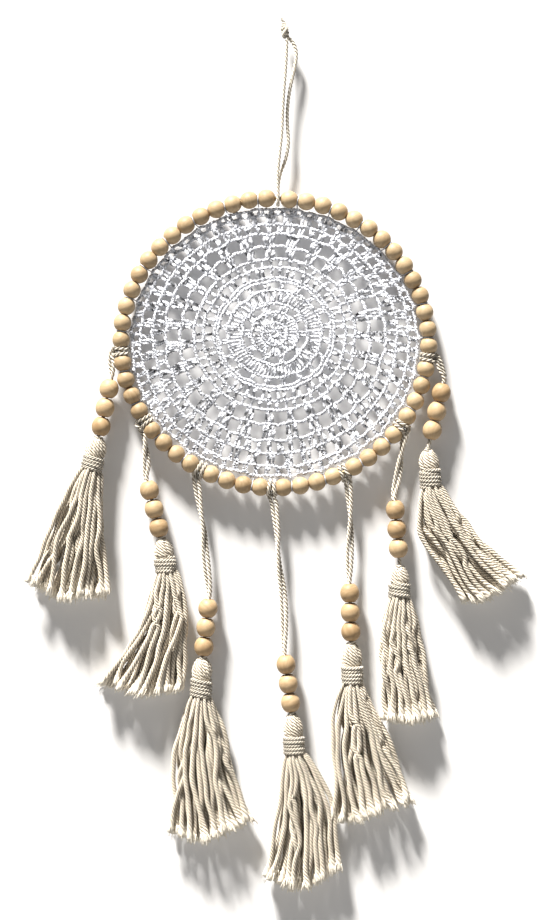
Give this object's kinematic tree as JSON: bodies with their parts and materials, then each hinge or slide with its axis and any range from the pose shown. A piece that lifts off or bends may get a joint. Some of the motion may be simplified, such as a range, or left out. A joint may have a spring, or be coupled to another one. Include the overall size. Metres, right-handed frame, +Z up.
{
  "type": "dreamcatcher on a beaded wire hoop",
  "caption": "Hanging dreamcatcher: a crocheted doily stretched in a wooden-beaded wire hoop, with cotton tassels on beaded cords below and a knotted cord loop above.",
  "frame": {"origin": "at the foot of the hanging loop's knot, where a nail or hook carries it", "axes": "+Z up, -Y towards the viewer of the front, +X to that viewer's right"},
  "size_m": [0.3172, 0.0154, 0.5775],
  "materials": {
    "hoop_wire": "drawn wire with a dull warm plating",
    "wood_beads": "turned light wood, unvarnished, smooth",
    "doily_cotton": "white mercerised crochet cotton",
    "cord_cotton": "ecru plied cotton cord, soft and matt",
    "tassel_cotton": "ecru plied cotton strands, frayed at the cut ends",
    "loop_cotton": "thin off-white plied cotton cord"
  },
  "bodies": {
    "root": {"hoop_wire": "hoop_wire", "ring_beads_1": "wood_beads", "ring_beads_2": "wood_beads", "ring_beads_3": "wood_beads", "ring_beads_4": "wood_beads", "ring_beads_5": "wood_beads", "ring_beads_6": "wood_beads", "ring_beads_7": "wood_beads", "ring_beads_8": "wood_beads", "doily": "doily_cotton", "hanger_far_left": "cord_cotton", "bead_far_left_1": "wood_beads", "bead_far_left_2": "wood_beads", "bead_far_left_3": "wood_beads", "tassel_far_left": "tassel_cotton", "binding_far_left": "cord_cotton", "hanger_left": "cord_cotton", "bead_left_1": "wood_beads", "bead_left_2": "wood_beads", "bead_left_3": "wood_beads", "tassel_left": "tassel_cotton", "binding_left": "cord_cotton", "hanger_near_left": "cord_cotton", "bead_near_left_1": "wood_beads", "bead_near_left_2": "wood_beads", "bead_near_left_3": "wood_beads", "tassel_near_left": "tassel_cotton", "binding_near_left": "cord_cotton", "hanger_middle": "cord_cotton", "bead_middle_1": "wood_beads", "bead_middle_2": "wood_beads", "bead_middle_3": "wood_beads", "tassel_middle": "tassel_cotton", "binding_middle": "cord_cotton", "hanger_near_right": "cord_cotton", "bead_near_right_1": "wood_beads", "bead_near_right_2": "wood_beads", "bead_near_right_3": "wood_beads", "tassel_near_right": "tassel_cotton", "binding_near_right": "cord_cotton", "hanger_right": "cord_cotton", "bead_right_1": "wood_beads", "bead_right_2": "wood_beads", "bead_right_3": "wood_beads", "tassel_right": "tassel_cotton", "binding_right": "cord_cotton", "hanger_far_right": "cord_cotton", "bead_far_right_1": "wood_beads", "bead_far_right_2": "wood_beads", "bead_far_right_3": "wood_beads", "tassel_far_right": "tassel_cotton", "binding_far_right": "cord_cotton", "hanging_loop": "loop_cotton", "loop_knot": "loop_cotton"}
  },
  "joints": []
}
